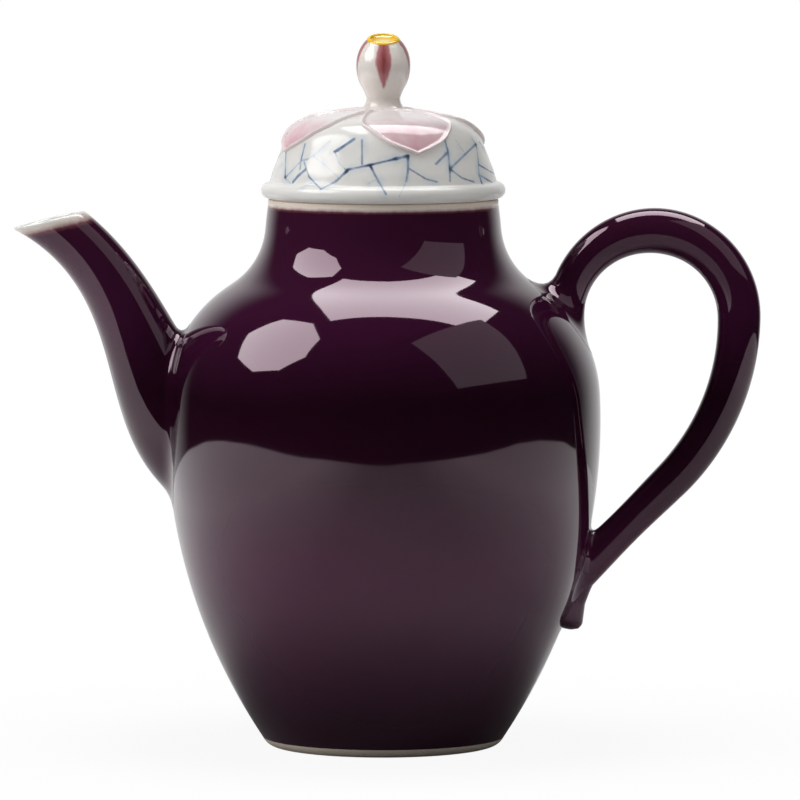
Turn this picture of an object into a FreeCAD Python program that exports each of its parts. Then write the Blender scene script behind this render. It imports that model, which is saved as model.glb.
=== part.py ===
import FreeCAD, Part
import math
import os
import Sketcher

# Porcelain teapot with a lift-off lid.
# Millimetres. The origin is the centre of the foot, Z is up along the axis of the
# round body, the spout points along -X and the handle along +X.

doc = FreeCAD.newDocument("teapot")
sheet = doc.addObject("Spreadsheet::Sheet", "sizes")

named = [
    # wall of the pot
    ("wall", 3.6),
    # foot and floor
    ("foot_height", 2.0),
    ("foot_inset", 2.87),
    ("foot_width", 4.0),
    ("foot_round", 3.4),
    ("floor_thick", 3.6),
    # belly: widest circle, its height and the long curve of the wall below it
    ("belly_radius", 48.8),
    ("belly_height", 73.2),
    ("belly_curve", 128.0),
    # shoulder and neck
    ("shoulder_rise", 6.06),
    ("shoulder_curve", 30.5),
    ("neck_radius", 26.35),
    ("neck_curve", 16.3),
    ("neck_taper", 0.5),
    ("rim_height", 1.5),
    ("rim_round", 0.7),
    ("rim_rise", 5.4),
    # spout: four control points of its middle line, out from the widest circle and
    # up from its height, and half sizes of its section
    ("spout_root_out", -11.7),
    ("spout_root_up", -6.1),
    ("spout_low_out", 8.0),
    ("spout_low_up", 1.7),
    ("spout_high_out", 0.9),
    ("spout_high_up", 35.7),
    ("spout_end_out", 35.4),
    ("spout_end_up", 50.3),
    ("spout_root_half", 15.2),
    ("spout_tip_half", 6.0),
    ("spout_slimness", 0.14),
    ("bore_root_half", 9.5),
    ("bore_tip_half", 4.0),
    ("mouth_out", 26.5),
    ("mouth_up", 45.2),
    ("mouth_tilt", 13.7),
    # strainer dome behind the spout
    ("strainer_radius", 14.0),
    ("strainer_thick", 2.2),
    ("strainer_hole", 2.8),
    ("strainer_step", 24.0),
    # handle: a round bow, a wide bow and a straight run; the middle of the round bow
    # is out from the widest circle and up from its height
    ("handle_out", 11.5),
    ("handle_up", 23.2),
    ("handle_bow", 19.5),
    ("handle_side_bow", 52.0),
    ("handle_root_half", 4.1),
    ("handle_top_half", 5.15),
    ("handle_side_half", 4.8),
    ("handle_low_half", 3.8),
    ("handle_bury", 5.4),
    ("handle_slimness", 0.08),
    ("tail_length", 12.1),
    ("tail_waist", 3.3),
    ("tail_bulge", 4.5),
    ("tail_slimness", 0.2),
    # lid
    ("lid_gap", 0.2),
    ("lid_clearance", 0.6),
    ("skirt_thick", 2.4),
    ("skirt_depth", 9.0),
    ("skirt_ease", 0.7),
    ("flange_overhang", 1.05),
    ("flange_edge", 3.3),
    ("flange_round", 1.66),
    ("flange_flare", 3.4),
    ("lid_wall", 2.8),
    ("dome_lift", 3.0),
    ("dome_rise", 13.4),
    ("dome_crown", 69.0),
    ("dome_inset", 9.95),
    ("dome_corner", 8.5),
    ("dome_draft", 15.0),
    # petals in low relief
    ("petal_relief", 0.7),
    ("petal_gap", 0.3),
    ("petal_root", 8.7),
    ("petal_parting", 8.4),
    ("petal_half_width", 9.9),
    ("petal_broad", -0.6),
    ("petal_tip", 6.35),
    ("petal_turn", 18.0),
    # knob
    ("knob_foot", 6.2),
    ("knob_waist", 4.05),
    ("knob_waist_up", 2.7),
    ("knob_flare", 3.2),
    ("knob_bulge", 2.36),
    ("knob_top_radius", 3.5),
    ("knob_height", 16.5),
    ("knob_lip", 0.5),
    ("knob_lip_width", 0.25),
    ("cup_radius", 2.7),
    ("cup_depth", 1.2),
    ("cup_fill", 0.8),
    ("cup_dish", 0.35),
]
for row, (alias, value) in enumerate(named, 1):
    sheet.set("A%d" % row, alias)
    sheet.set("B%d" % row, str(value))
    sheet.setAlias("B%d" % row, alias)
doc.recompute()


def num(expression):
    value = sheet.evalExpression(expression)
    return float(getattr(value, "Value", value))


# Drawing helpers: a closed outline in the XZ plane, corner by corner, each corner
# bound to the sheet. A bend after a corner is an arc with that radius; "+" puts its
# centre to the left of the way round and "-" to the right.

def arc_between(start, end, radius, side):
    dx = end[0] - start[0]
    dy = end[1] - start[1]
    chord = math.hypot(dx, dy)
    rise = math.sqrt(max(radius * radius - chord * chord / 4.0, 0.0))
    turn = 1.0 if side == "+" else -1.0
    cx = (start[0] + end[0]) / 2.0 - turn * dy / chord * rise
    cy = (start[1] + end[1]) / 2.0 + turn * dx / chord * rise
    begin = math.atan2(start[1] - cy, start[0] - cx)
    finish = math.atan2(end[1] - cy, end[0] - cx)
    if side == "-":
        begin, finish = finish, begin
    circle = Part.Circle(FreeCAD.Vector(cx, cy, 0), FreeCAD.Vector(0, 0, 1), radius)
    return Part.ArcOfCircle(circle, begin, finish)


def outline(body, plane_role, corners):
    plane = [f for f in body.Origin.OriginFeatures if f.Role == plane_role][0]
    sketch = body.newObject("Sketcher::SketchObject", body.Name + "_outline")
    sketch.AttachmentSupport = [(plane, "")]
    sketch.MapMode = "FlatFace"
    places = [(num(c[0]), num(c[1])) for c in corners]
    count = len(corners)
    ends = []
    for i, corner in enumerate(corners):
        here = places[i]
        there = places[(i + 1) % count]
        if len(corner) == 2:
            a = FreeCAD.Vector(here[0], here[1], 0)
            b = FreeCAD.Vector(there[0], there[1], 0)
            sketch.addGeometry(Part.LineSegment(a, b), False)
            ends.append((1, 2))
        else:
            side, radius = corner[2], corner[3]
            sketch.addGeometry(arc_between(here, there, num(radius), side), False)
            ends.append((1, 2) if side == "+" else (2, 1))
    for i in range(count):
        after = (i + 1) % count
        sketch.addConstraint(
            Sketcher.Constraint("Coincident", i, ends[i][1], after, ends[after][0]))
    for i, corner in enumerate(corners):
        if len(corner) > 2:
            at = sketch.addConstraint(Sketcher.Constraint("Radius", i, num(corner[3])))
            sketch.setExpression("Constraints[%d]" % at, corner[3])
        for axis, kind, line in ((0, "DistanceX", -2), (1, "DistanceY", -1)):
            if corner[axis] == "0":
                sketch.addConstraint(Sketcher.Constraint("PointOnObject", i, ends[i][0], line))
                continue
            at = sketch.addConstraint(
                Sketcher.Constraint(kind, -1, 1, i, ends[i][0], places[i][axis]))
            sketch.setExpression("Constraints[%d]" % at, corner[axis])
    return sketch


def turned(name, corners):
    body = doc.addObject("PartDesign::Body", name)
    body.Label = name
    sketch = outline(body, "XZ_Plane", corners)
    spin = body.newObject("PartDesign::Revolution", name + "_turned")
    spin.Profile = sketch
    spin.ReferenceAxis = (sketch, ["V_Axis"])
    spin.Angle = 360.0
    return body


def boolean(kind, name, base, tool):
    item = doc.addObject("Part::" + kind, name)
    item.Base = base
    item.Tool = tool
    item.Label = name
    return item


def section(name, out, up, lean, long_half, short_half):
    ring = doc.addObject("Part::Ellipse", name)
    ring.Placement = FreeCAD.Placement(
        FreeCAD.Vector(0, 0, 0), FreeCAD.Rotation(FreeCAD.Vector(0, 1, 0), 10.0))
    ring.MinorRadius = 0.1
    ring.setExpression("MajorRadius", long_half)
    ring.setExpression("MinorRadius", short_half)
    ring.setExpression("Placement.Base.x", out)
    ring.setExpression("Placement.Base.z", up)
    ring.setExpression("Placement.Rotation.Angle", lean)
    return ring


def lofted(name, rings):
    skin = doc.addObject("Part::Loft", name)
    skin.Sections = rings
    skin.Solid = True
    skin.Ruled = False
    skin.MaxDegree = 5
    return skin


# Wall line of the pot. The long curve is centred level with the widest circle, the
# shoulder curve touches it, and the neck curve touches the shoulder and stands
# upright where the neck begins. "thick" moves the same line inward.

def wall_line(thick):
    inset = " - %s" % thick
    belly_c = "(sizes.belly_radius - sizes.belly_curve)"
    lean = "asin(sizes.shoulder_rise / sizes.belly_curve)"
    sh_r = "(%s + (sizes.belly_curve - sizes.shoulder_curve) * cos(%s))" % (belly_c, lean)
    sh_z = "(sizes.belly_height + (sizes.belly_curve - sizes.shoulder_curve) * sin(%s))" % lean
    reach = "(sizes.shoulder_curve + sizes.neck_curve)"
    nk_r = "(sizes.neck_radius + sizes.neck_curve)"
    nk_z = "(%s + sqrt(%s ^ 2 - (%s - %s) ^ 2))" % (sh_z, reach, nk_r, sh_r)
    line = {}
    line["foot"] = (
        "%s + sqrt((sizes.belly_curve%s) ^ 2 - (sizes.belly_height - sizes.foot_height) ^ 2)"
        % (belly_c, inset), "sizes.foot_height")
    line["floor"] = (
        "%s + sqrt((sizes.belly_curve%s) ^ 2 - "
        "(sizes.belly_height - sizes.foot_height - sizes.floor_thick) ^ 2)"
        % (belly_c, inset), "sizes.foot_height + sizes.floor_thick")
    line["turn"] = (
        "%s + (sizes.belly_curve%s) * cos(%s)" % (belly_c, inset, lean),
        "sizes.belly_height + (sizes.belly_curve%s) * sin(%s)" % (inset, lean))
    share = "((sizes.shoulder_curve%s) / %s)" % (inset, reach)
    line["joint"] = (
        "%s + %s * (%s - %s)" % (sh_r, share, nk_r, sh_r),
        "%s + %s * (%s - %s)" % (sh_z, share, nk_z, sh_z))
    line["neck"] = ("sizes.neck_radius%s" % inset, nk_z)
    line["belly_bend"] = "sizes.belly_curve%s" % inset
    line["shoulder_bend"] = "sizes.shoulder_curve%s" % inset
    line["neck_bend"] = "sizes.neck_curve + %s" % thick
    return line


outer = wall_line("0")
inner = wall_line("sizes.wall")
rim_top = "(%s + sizes.rim_rise)" % outer["neck"][1]
collar_top = rim_top + " - sizes.rim_height"
collar_edge = "sizes.neck_radius - sizes.neck_taper"
neck_hole = "sizes.neck_radius - sizes.wall"

# Foot ring, floor and wall of the pot.

foot_contact = outer["foot"][0] + " - sizes.foot_inset"
foot_hollow = foot_contact + " - sizes.foot_width"

turned("foot_ring", [
    (foot_hollow, "0"),
    (foot_contact, "0", "+", "sizes.foot_round"),
    outer["foot"],
    (foot_hollow, "sizes.foot_height"),
])

turned("base_disc", [
    ("0", "sizes.foot_height"),
    inner["foot"] + ("+", inner["belly_bend"]),
    inner["floor"],
    ("0", "sizes.foot_height + sizes.floor_thick"),
])

belly_turned = turned("belly_turned", [
    outer["foot"] + ("+", outer["belly_bend"]),
    outer["turn"] + ("+", outer["shoulder_bend"]),
    outer["joint"],
    inner["joint"] + ("-", inner["shoulder_bend"]),
    inner["turn"] + ("-", inner["belly_bend"]),
    inner["foot"],
])

turned("neck_collar", [
    outer["joint"] + ("-", outer["neck_bend"]),
    outer["neck"],
    (collar_edge, collar_top),
    (neck_hole, collar_top),
    inner["neck"] + ("+", inner["neck_bend"]),
    inner["joint"],
])

turned("mouth_rim", [
    (collar_edge, collar_top),
    (collar_edge, rim_top + " - sizes.rim_round", "+", "sizes.rim_round"),
    (collar_edge + " - sizes.rim_round", rim_top),
    (neck_hole, rim_top),
    (neck_hole, collar_top),
])

# Filled shapes of the outside and of the inside, used only for trimming.

outside = turned("outside", [
    ("0", "sizes.foot_height"),
    outer["foot"] + ("+", outer["belly_bend"]),
    outer["turn"] + ("+", outer["shoulder_bend"]),
    outer["joint"] + ("-", outer["neck_bend"]),
    outer["neck"],
    ("0", outer["neck"][1]),
])

inside = turned("inside", [
    ("0", "sizes.foot_height + sizes.floor_thick"),
    inner["floor"] + ("+", inner["belly_bend"]),
    inner["turn"] + ("+", inner["shoulder_bend"]),
    inner["joint"],
    ("0", inner["joint"][1]),
])

# Spout: oval sections along a curved middle line, hollowed by a narrower bore, cut
# level at the mouth and trimmed to the belly. The same bore opens the belly wall.

knots = ("root", "low", "high", "end")


def spout_rings(name, root_half, tip_half, stations):
    rings = []
    for i in range(stations):
        at = i / (stations - 1.0)
        off = 1.0 - at
        share = (off ** 3, 3 * at * off * off, 3 * at * at * off, at ** 3)
        pull = (-off * off, off * off - 2 * at * off, 2 * at * off - at * at, at * at)
        out = "-sizes.belly_radius + " + " + ".join(
            "%.6f * -sizes.spout_%s_out" % p for p in zip(share, knots))
        up = "sizes.belly_height + " + " + ".join(
            "%.6f * sizes.spout_%s_up" % p for p in zip(share, knots))
        run = " + ".join("%.6f * -sizes.spout_%s_out" % p for p in zip(pull, knots))
        rise = " + ".join("%.6f * sizes.spout_%s_up" % p for p in zip(pull, knots))
        tall = "%s + (%s - %s) * %.6f" % (tip_half, root_half, tip_half, off * off)
        slim = "(1 - sizes.spout_slimness * %.6f)" % off
        rings.append(section(
            "%s_%d" % (name, i), out, up, "atan2(%s; %s)" % (run, rise),
            tall, "(%s) * %s" % (tall, slim)))
    return rings


spout_skin = lofted("spout_skin", spout_rings(
    "spout_ring", "sizes.spout_root_half", "sizes.spout_tip_half", 9))
spout_bore = lofted("spout_bore", spout_rings(
    "bore_ring", "sizes.bore_root_half", "sizes.bore_tip_half", 9))

block = "(6 * sizes.spout_tip_half)"
mouth_cut = doc.addObject("Part::Box", "mouth_cut")
mouth_cut.Placement = FreeCAD.Placement(
    FreeCAD.Vector(0, 0, 0), FreeCAD.Rotation(FreeCAD.Vector(0, 1, 0), 10.0))
mouth_cut.setExpression("Length", block)
mouth_cut.setExpression("Width", block)
mouth_cut.setExpression("Height", block)
mouth_cut.setExpression("Placement.Rotation.Angle", "-sizes.mouth_tilt")
mouth_cut.setExpression(
    "Placement.Base.x",
    "-sizes.belly_radius - sizes.mouth_out - %s / 2 * cos(sizes.mouth_tilt)" % block)
mouth_cut.setExpression("Placement.Base.y", "-%s / 2" % block)
mouth_cut.setExpression(
    "Placement.Base.z",
    "sizes.belly_height + sizes.mouth_up - %s / 2 * sin(sizes.mouth_tilt)" % block)

spout_open = boolean("Cut", "spout_open", spout_skin, mouth_cut)
spout_tube = boolean("Cut", "spout_tube", spout_open, spout_bore)
boolean("Cut", "spout", spout_tube, outside)
boolean("Cut", "belly", belly_turned, spout_bore)

# Strainer: a pierced dome standing on the inside of the wall over the spout opening.

strainer_out = "-(sizes.belly_radius - sizes.wall)"
shell = []
for name, radius in (
        ("strainer_ball", "sizes.strainer_radius"),
        ("strainer_hollow", "sizes.strainer_radius - sizes.strainer_thick")):
    ball = doc.addObject("Part::Sphere", name)
    ball.setExpression("Radius", radius)
    ball.setExpression("Placement.Base.x", strainer_out)
    ball.setExpression("Placement.Base.z", "sizes.belly_height")
    shell.append(ball)
strainer_shell = boolean("Cut", "strainer_shell", shell[0], shell[1])
strainer_cap = boolean("Common", "strainer_cap", strainer_shell, inside)
drills = []
for step, count in ((0, 1), (1, 6), (2, 11)):
    lean = step * num("sizes.strainer_step")
    for i in range(count):
        about = 360.0 * i / count + 15.0
        drill = doc.addObject("Part::Cylinder", "strainer_drill_%d" % len(drills))
        aim = FreeCAD.Rotation(FreeCAD.Vector(1, 0, 0), about).multiply(
            FreeCAD.Rotation(FreeCAD.Vector(0, 1, 0), 90.0 - lean))
        drill.Placement = FreeCAD.Placement(FreeCAD.Vector(0, 0, 0), aim)
        way = aim.multVec(FreeCAD.Vector(0, 0, 1))
        start = "(sizes.strainer_radius - 1.5 * sizes.strainer_thick)"
        drill.setExpression("Radius", "sizes.strainer_hole / 2")
        drill.setExpression("Height", "2 * sizes.strainer_thick")
        drill.setExpression("Placement.Base.x", "%s + %.6f * %s" % (strainer_out, way.x, start))
        drill.setExpression("Placement.Base.y", "%.6f * %s" % (way.y, start))
        drill.setExpression("Placement.Base.z", "sizes.belly_height + %.6f * %s" % (way.z, start))
        drills.append(drill)
strainer_drills = doc.addObject("Part::Compound", "strainer_drills")
strainer_drills.Links = drills
boolean("Cut", "strainer", strainer_cap, strainer_drills)

# Handle: oval sections round the bow, down the wide bow and along the straight run,
# trimmed to the pot. Each row is an angle on a bow or a way along the straight run,
# with the half thickness there as a blend of two named ones.

bow_out = "(sizes.belly_radius + sizes.handle_out)"
bow_up = "(sizes.belly_height + sizes.handle_up)"
wide_out = "(%s + sizes.handle_bow - sizes.handle_side_bow)" % bow_out
run_out = "(%s + sizes.handle_side_bow * cos(45))" % wide_out
run_up = "(%s - sizes.handle_side_bow * sin(45))" % bow_up
run_in = "(%s - sizes.belly_radius + sizes.handle_bury)" % run_out
stations = [
    ("bow", 202, "root", "root", 0.0, 1.0),
    ("bow", 186, "root", "root", 0.0, 1.06),
    ("bow", 169, "root", "root", 0.0, 1.03),
    ("bow", 152, "root", "root", 0.0, 1.0),
    ("bow", 132, "root", "top", 0.35, 1.0),
    ("bow", 111, "root", "top", 0.8, 1.0),
    ("bow", 90, "root", "top", 1.0, 1.0),
    ("bow", 67, "top", "side", 0.2, 1.0),
    ("bow", 44, "top", "side", 0.5, 1.0),
    ("bow", 22, "top", "side", 0.8, 1.0),
    ("bow", 0, "top", "side", 1.0, 1.0),
    ("wide", -15, "side", "low", 0.1, 1.0),
    ("wide", -30, "side", "low", 0.25, 1.0),
    ("wide", -45, "side", "low", 0.5, 1.0),
    ("run", 0.33, "side", "low", 0.85, 1.0),
    ("run", 0.67, "side", "low", 1.0, 1.02),
    ("run", 1.0, "side", "low", 1.0, 1.15),
]
handle_rings = []
for i, (kind, at, first, second, blend, swell) in enumerate(stations):
    if kind == "run":
        out = "%s - %.2f * %s" % (run_out, at, run_in)
        up = "%s - %.2f * %s" % (run_up, at, run_in)
        lean = "-135"
    else:
        middle = bow_out if kind == "bow" else wide_out
        reach = "sizes.handle_bow" if kind == "bow" else "sizes.handle_side_bow"
        out = "%s + %s * cos(%d)" % (middle, reach, at)
        up = "%s + %s * sin(%d)" % (bow_up, reach, at)
        lean = "%d" % (180 - at)
    half = "((1 - %.2f) * sizes.handle_%s_half + %.2f * sizes.handle_%s_half) * %.2f" % (
        blend, first, blend, second, swell)
    handle_rings.append(section(
        "handle_ring_%d" % i, out, up, lean, half, "(%s) * (1 - sizes.handle_slimness)" % half))
handle_skin = lofted("handle_skin", handle_rings)
handle_loop = boolean("Cut", "handle_loop", handle_skin, outside)

# Tail of the handle: a tongue that runs on down the wall and ends in a small bulge.

tail_rows = (
    (0.0, "(sizes.tail_bulge * 1.2)"),
    (0.2, "(sizes.tail_bulge * 0.95)"),
    (0.42, "(sizes.tail_waist * 1.06)"),
    (0.6, "sizes.tail_waist"),
    (0.78, "((sizes.tail_waist + sizes.tail_bulge) / 2)"),
    (0.91, "sizes.tail_bulge"),
    (1.0, "(sizes.tail_bulge * 0.8)"),
)
tail_rings = []
for i, (at, deep) in enumerate(tail_rows):
    up = "(%s - %s - %.2f * sizes.tail_length)" % (run_up, run_in, at)
    out = ("sizes.belly_radius - sizes.belly_curve + "
           "sqrt(sizes.belly_curve ^ 2 - (sizes.belly_height - %s) ^ 2)" % up)
    tail_rings.append(section(
        "tail_ring_%d" % i, out, up, "0", deep, "%s * (1 - sizes.tail_slimness)" % deep))
tail_skin = lofted("tail_skin", tail_rings)
tail_outside = boolean("Cut", "tail_outside", tail_skin, outside)
boolean("Cut", "handle_tail", tail_outside, handle_skin)

# Lid: a skirt that drops into the neck, a flange that rests on the rim, a dome.

seat = "(%s + sizes.lid_gap)" % rim_top
dome_foot = "(%s + sizes.flange_edge + sizes.dome_lift)" % seat
dome_top = "(%s + sizes.dome_rise)" % dome_foot
dome_shoulder = "(sizes.neck_radius - sizes.dome_inset)"
flange_edge = "sizes.neck_radius + sizes.flange_overhang - sizes.flange_round"
skirt_outer = "sizes.neck_radius - sizes.wall - sizes.lid_clearance"
skirt_inner = skirt_outer + " - sizes.skirt_thick"


def dome_line(lift):
    turn = "asin(%s / sizes.dome_crown)" % dome_shoulder
    mid_r = "((sizes.dome_crown - sizes.dome_corner) * sin(%s))" % turn
    mid_z = ("(%s - sizes.dome_crown + "
             "(sizes.dome_crown - sizes.dome_corner) * cos(%s))" % (dome_top, turn))
    bend = "(sizes.dome_corner + %s)" % lift
    crown = "(sizes.dome_crown + %s)" % lift
    line = {}
    line["top"] = "%s + %s" % (dome_top, lift)
    line["crown"] = crown
    line["bend"] = bend
    line["shoulder"] = (
        "%s * sin(%s)" % (crown, turn),
        "%s - sizes.dome_crown + %s * cos(%s)" % (dome_top, crown, turn))
    side_r = "(%s + %s * cos(sizes.dome_draft))" % (mid_r, bend)
    side_z = "(%s + %s * sin(sizes.dome_draft))" % (mid_z, bend)
    line["side"] = (side_r, side_z)
    line["foot"] = (
        "%s + (%s - %s) * tan(sizes.dome_draft)" % (side_r, side_z, dome_foot), dome_foot)
    return line


dome_out = dome_line("0")
dome_in = dome_line("(0 - sizes.lid_wall)")
dome_up = dome_line("sizes.petal_relief")

turned("lid_skirt", [
    (skirt_outer + " - sizes.skirt_ease", seat + " - sizes.skirt_depth"),
    (skirt_outer, seat + " - sizes.skirt_depth + sizes.skirt_ease"),
    (skirt_outer, seat),
    (skirt_inner, seat),
    (skirt_inner, seat + " - sizes.skirt_depth"),
])

turned("lid_flange", [
    (skirt_inner, seat),
    (flange_edge, seat, "+", "sizes.flange_round"),
    (flange_edge, seat + " + sizes.flange_edge", "-", "sizes.flange_flare"),
    dome_out["foot"],
    dome_in["foot"],
    (skirt_inner, seat + " + sizes.flange_edge"),
])

turned("lid_dome", [
    dome_out["foot"],
    dome_out["side"] + ("+", dome_out["bend"]),
    dome_out["shoulder"] + ("+", dome_out["crown"]),
    ("0", dome_out["top"]),
    ("0", dome_in["top"], "-", dome_in["crown"]),
    dome_in["shoulder"] + ("-", dome_in["bend"]),
    dome_in["side"],
    dome_in["foot"],
])

# Petals: pads cut from a thin layer over the dome, four round the knob.

layer = turned("petal_layer", [
    dome_out["foot"],
    dome_out["side"] + ("+", dome_out["bend"]),
    dome_out["shoulder"] + ("+", dome_out["crown"]),
    ("0", dome_out["top"]),
    ("0", dome_up["top"], "-", dome_up["crown"]),
    dome_up["shoulder"] + ("-", dome_up["bend"]),
    dome_up["side"],
    dome_up["foot"],
])

part_gap = "sizes.petal_gap * 0.707"
for i, where in enumerate(("front", "right", "back", "left")):
    body = doc.addObject("PartDesign::Body", "petal_pad_" + where)
    sketch = outline(body, "XY_Plane", [
        ("sizes.petal_root * 0.707 + %s" % part_gap, "0"),
        (dome_shoulder + " + sizes.petal_tip", "0", "+", "sizes.petal_half_width * 1.5"),
        (dome_shoulder + " + sizes.petal_broad", "sizes.petal_half_width",
         "+", "sizes.petal_half_width"),
        ("sizes.petal_parting", "sizes.petal_parting - %s" % part_gap),
        ("sizes.petal_root * 0.707 + %s" % part_gap, "sizes.petal_root * 0.707"),
    ])
    half_pad = body.newObject("PartDesign::Pad", "petal_half_" + where)
    half_pad.Profile = sketch
    half_pad.setExpression("Length", dome_top + " + sizes.knob_height")
    doc.recompute()
    mirror = body.newObject("PartDesign::Mirrored", "petal_whole_" + where)
    mirror.Originals = [half_pad]
    mirror.MirrorPlane = (sketch, ["H_Axis"])
    body.Tip = mirror
    body.Placement = FreeCAD.Placement(
        FreeCAD.Vector(0, 0, 0), FreeCAD.Rotation(FreeCAD.Vector(0, 0, 1), 10.0))
    body.setExpression("Placement.Rotation.Angle", "sizes.petal_turn + %d" % (90 * i - 90))
    boolean("Common", "petal_" + where, layer, body)

# Knob: a bud on a short waist, with a small cup in its top.

waist_up = dome_top + " + sizes.knob_waist_up"
knob_low = "%s - sizes.dome_crown + sqrt(sizes.dome_crown ^ 2 - sizes.knob_foot ^ 2)" % dome_top
knob_top = dome_top + " + sizes.knob_height"
knob_chord = ("((sizes.knob_height - sizes.knob_waist_up) ^ 2 + "
              "(sizes.knob_waist - sizes.knob_top_radius) ^ 2)")
knob_curve = "(%s / (8 * sizes.knob_bulge) + sizes.knob_bulge / 2)" % knob_chord
lip = knob_top + " + sizes.knob_lip"
cup_low = lip + " - sizes.cup_depth"

turned("knob_bud", [
    ("0", dome_top, "-", "sizes.dome_crown"),
    ("sizes.knob_foot", knob_low, "-", "sizes.knob_flare"),
    ("sizes.knob_waist", waist_up, "+", knob_curve),
    ("sizes.knob_top_radius", knob_top),
    ("sizes.cup_radius + sizes.knob_lip_width", lip),
    ("sizes.cup_radius", lip + " - sizes.knob_lip_width"),
    ("sizes.cup_radius", cup_low),
    ("0", cup_low),
])

dish = "((sizes.cup_radius ^ 2 + sizes.cup_dish ^ 2) / (2 * sizes.cup_dish))"
turned("knob_cup", [
    ("0", cup_low),
    ("sizes.cup_radius", cup_low),
    ("sizes.cup_radius", cup_low + " + sizes.cup_fill", "-", dish),
    ("0", cup_low + " + sizes.cup_fill - sizes.cup_dish"),
])

doc.recompute()

pieces = (
    "foot_ring", "base_disc", "belly", "neck_collar", "mouth_rim",
    "spout", "strainer", "handle_loop", "handle_tail",
    "lid_skirt", "lid_flange", "lid_dome",
    "petal_front", "petal_right", "petal_back", "petal_left",
    "knob_bud", "knob_cup",
)
for item in doc.Objects:
    if "Invalid" in item.State or "Error" in item.State:
        raise RuntimeError("%s did not build: %s" % (item.Name, item.State))
os.makedirs("parts", exist_ok=True)
for name in pieces:
    item = doc.getObject(name)
    if item.Shape.isNull() or not item.Shape.isValid() or len(item.Shape.Solids) != 1:
        raise RuntimeError("%s has no sound single solid" % name)
    print("%-14s %9.1f mm3" % (name, item.Shape.Volume))
    item.Shape.exportStep("parts/%s.step" % item.Label)
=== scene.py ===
import bpy
import math
import numpy as np
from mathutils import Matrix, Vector
from mathutils.kdtree import KDTree


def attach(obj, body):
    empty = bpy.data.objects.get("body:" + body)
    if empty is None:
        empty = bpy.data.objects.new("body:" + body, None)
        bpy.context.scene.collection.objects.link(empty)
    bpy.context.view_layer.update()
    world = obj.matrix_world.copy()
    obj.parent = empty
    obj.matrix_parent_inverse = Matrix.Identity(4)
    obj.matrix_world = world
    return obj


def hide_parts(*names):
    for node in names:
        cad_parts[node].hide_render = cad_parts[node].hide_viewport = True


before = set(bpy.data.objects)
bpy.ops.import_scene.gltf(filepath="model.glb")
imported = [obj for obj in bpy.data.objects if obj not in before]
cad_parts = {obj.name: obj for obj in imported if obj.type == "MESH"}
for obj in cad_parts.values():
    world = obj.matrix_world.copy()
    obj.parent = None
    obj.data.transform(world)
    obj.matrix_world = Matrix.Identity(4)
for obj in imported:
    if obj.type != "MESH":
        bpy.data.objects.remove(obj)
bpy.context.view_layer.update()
mm = 0.001  # sizes below are in millimetres, Blender works in metres
print("frame loaded:", len(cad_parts), "nodes")


def hexColour(code):
    channels = [int(code[i:i + 2], 16) / 255 for i in (1, 3, 5)]
    return [c / 12.92 if c <= 0.04045 else ((c + 0.055) / 1.055) ** 2.4 for c in channels] + [1.0]


def addNode(material, kind, inputs=None, **settings):
    node = material.node_tree.nodes.new("ShaderNode" + kind)
    for name, value in settings.items():
        setattr(node, name, value)
    for name, value in (inputs or {}).items():
        if isinstance(value, bpy.types.NodeSocket):
            material.node_tree.links.new(value, node.inputs[name])
        else:
            node.inputs[name].default_value = value
    return node


def setStops(ramp, *stops):
    points = ramp.color_ramp.elements
    for position, code in stops[1:-1]:
        points.new(position).color = hexColour(code)
    for point, (position, code) in ((points[0], stops[0]), (points[len(points) - 1], stops[-1])):
        point.position, point.color = position, hexColour(code)


def startMaterial(name):
    material = bpy.data.materials.new(name)
    material.use_nodes = True
    material.node_tree.nodes.clear()
    return material


# the camera stands where the photograph was taken from; its picture is 800 pixels square

camera = {"place": (3.74, -1750.0, 215.0), "aim": (3.74, 0.0, 77.8), "lens": 351.9, "film": 36.0,
          "frame": 800}


# profiles and grids

def arcPoints(centre, radius, start, end, count):
    turns = np.radians(np.linspace(start, end, count))
    return [(centre[0] + radius * math.cos(a), centre[1] + radius * math.sin(a)) for a in turns]


def linePoints(start, end, count):
    return [(start[0] + (end[0] - start[0]) * s, start[1] + (end[1] - start[1]) * s)
            for s in np.linspace(0, 1, count)]


def bendPoints(start, pull, end, count):
    return [((1 - s) ** 2 * start[0] + 2 * s * (1 - s) * pull[0] + s * s * end[0],
             (1 - s) ** 2 * start[1] + 2 * s * (1 - s) * pull[1] + s * s * end[1])
            for s in np.linspace(0, 1, count)]


def joinProfile(*runs):
    profile = []
    for run in runs:
        for spot in run:
            if not profile or math.dist(profile[-1], spot) > 0.01:
                profile.append(spot)
    return profile


def turnProfile(name, profile, steps, crease=40):
    # one point is extruded along the profile, then the line is spun round the axis
    bpy.ops.object.select_all(action='DESELECT')
    bpy.ops.mesh.primitive_plane_add(size=0.0002, location=(0, 0, 0))
    piece = bpy.context.object
    piece.name = name
    bpy.ops.object.mode_set(mode='EDIT')
    bpy.ops.mesh.select_all(action='SELECT')
    bpy.ops.mesh.merge(type='CENTER')
    bpy.ops.transform.translate(value=(profile[0][0] * mm, 0, profile[0][1] * mm))
    for here, there in zip(profile, profile[1:]):
        step = ((there[0] - here[0]) * mm, 0, (there[1] - here[1]) * mm)
        bpy.ops.mesh.extrude_region_move(TRANSFORM_OT_translate={"value": step})
    bpy.ops.mesh.select_all(action='SELECT')
    bpy.ops.mesh.spin(steps=steps, angle=2 * math.pi, center=(0, 0, 0), axis=(0, 0, 1))
    bpy.ops.mesh.select_all(action='SELECT')
    bpy.ops.mesh.remove_doubles(threshold=0.002 * mm)
    bpy.ops.mesh.normals_make_consistent(inside=False)
    bpy.ops.object.mode_set(mode='OBJECT')
    bpy.ops.object.shade_smooth_by_angle(angle=math.radians(crease))
    return piece


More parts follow.
